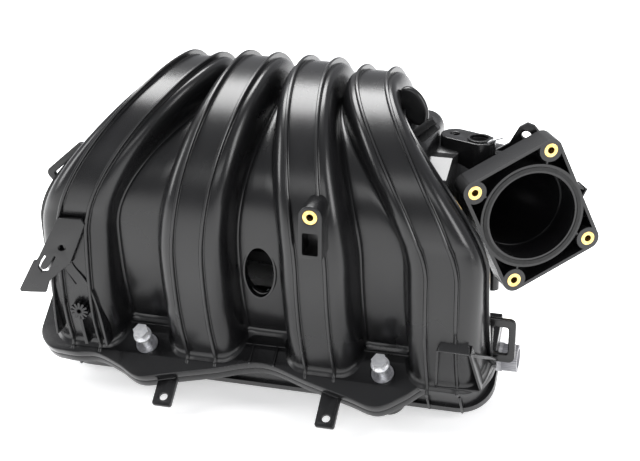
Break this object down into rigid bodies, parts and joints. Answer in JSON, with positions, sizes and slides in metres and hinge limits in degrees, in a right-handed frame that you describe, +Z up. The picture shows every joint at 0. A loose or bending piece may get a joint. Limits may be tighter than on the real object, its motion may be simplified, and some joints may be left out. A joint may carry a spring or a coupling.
{
  "type": "intake manifold",
  "caption": "Moulded intake manifold: ribbed runners arch from a tilted head flange over a plenum with an angled throttle flange and captive bolts.",
  "frame": {"origin": "bottom centre of the part's box, on the surface it stands on", "axes": "X along the engine, -Y towards the front of the runners, +Z up"},
  "size_m": [0.3974, 0.204, 0.2476],
  "materials": {
    "black_nylon": "moulded satin",
    "grey_nylon": "moulded matt",
    "brass": "turned and knurled",
    "steel": "turned",
    "zinc_plated_steel": "bright zinc plate",
    "seal_rubber": "matt"
  },
  "bodies": {
    "manifold": {"front_shell": "black_nylon", "rear_shell": "black_nylon", "head_flange_base": "black_nylon", "plenum_shell": "black_nylon", "plenum_cover": "black_nylon", "throttle_neck": "black_nylon", "throttle_insert_1": "brass", "port_gasket_1": "seal_rubber", "throttle_insert_2": "brass", "port_gasket_2": "seal_rubber", "throttle_insert_3": "brass", "port_gasket_3": "seal_rubber", "throttle_insert_4": "brass", "port_gasket_4": "seal_rubber", "cover_boss_insert": "brass", "throttle_gasket": "seal_rubber", "sleeve_left": "steel", "sleeve_right": "steel", "sleeve_centre": "steel", "vacuum_nipple": "black_nylon", "breather_nipple": "grey_nylon"},
    "retainer_left": {"retainer_left": "steel"},
    "bolt_left": {"bolt_left": "zinc_plated_steel"},
    "retainer_right": {"retainer_right": "steel"},
    "bolt_right": {"bolt_right": "zinc_plated_steel"},
    "retainer_centre": {"retainer_centre": "steel"},
    "bolt_centre": {"bolt_centre": "zinc_plated_steel"}
  },
  "joints": [
    {"name": "bolt_left_slide", "type": "slide", "parent": "manifold", "child": "retainer_left", "axis": [0, -0.5878, 0.809], "range_m": [-0.0125, 0]},
    {"name": "bolt_left_spin", "type": "hinge", "parent": "retainer_left", "child": "bolt_left", "pos_m": [-0.11274, -0.054, 0.04265], "axis": [0, -0.5878, 0.809], "continuous": true},
    {"name": "bolt_right_slide", "type": "slide", "parent": "manifold", "child": "retainer_right", "axis": [0, -0.5878, 0.809], "range_m": [-0.0125, 0]},
    {"name": "bolt_right_spin", "type": "hinge", "parent": "retainer_right", "child": "bolt_right", "pos_m": [0.06326, -0.054, 0.04265], "axis": [0, -0.5878, 0.809], "continuous": true},
    {"name": "bolt_centre_slide", "type": "slide", "parent": "manifold", "child": "retainer_centre", "axis": [0, -0.5878, 0.809], "range_m": [-0.0125, 0]},
    {"name": "bolt_centre_spin", "type": "hinge", "parent": "retainer_centre", "child": "bolt_centre", "pos_m": [-0.02474, -0.02164, 0.06616], "axis": [0, -0.5878, 0.809], "continuous": true}
  ]
}
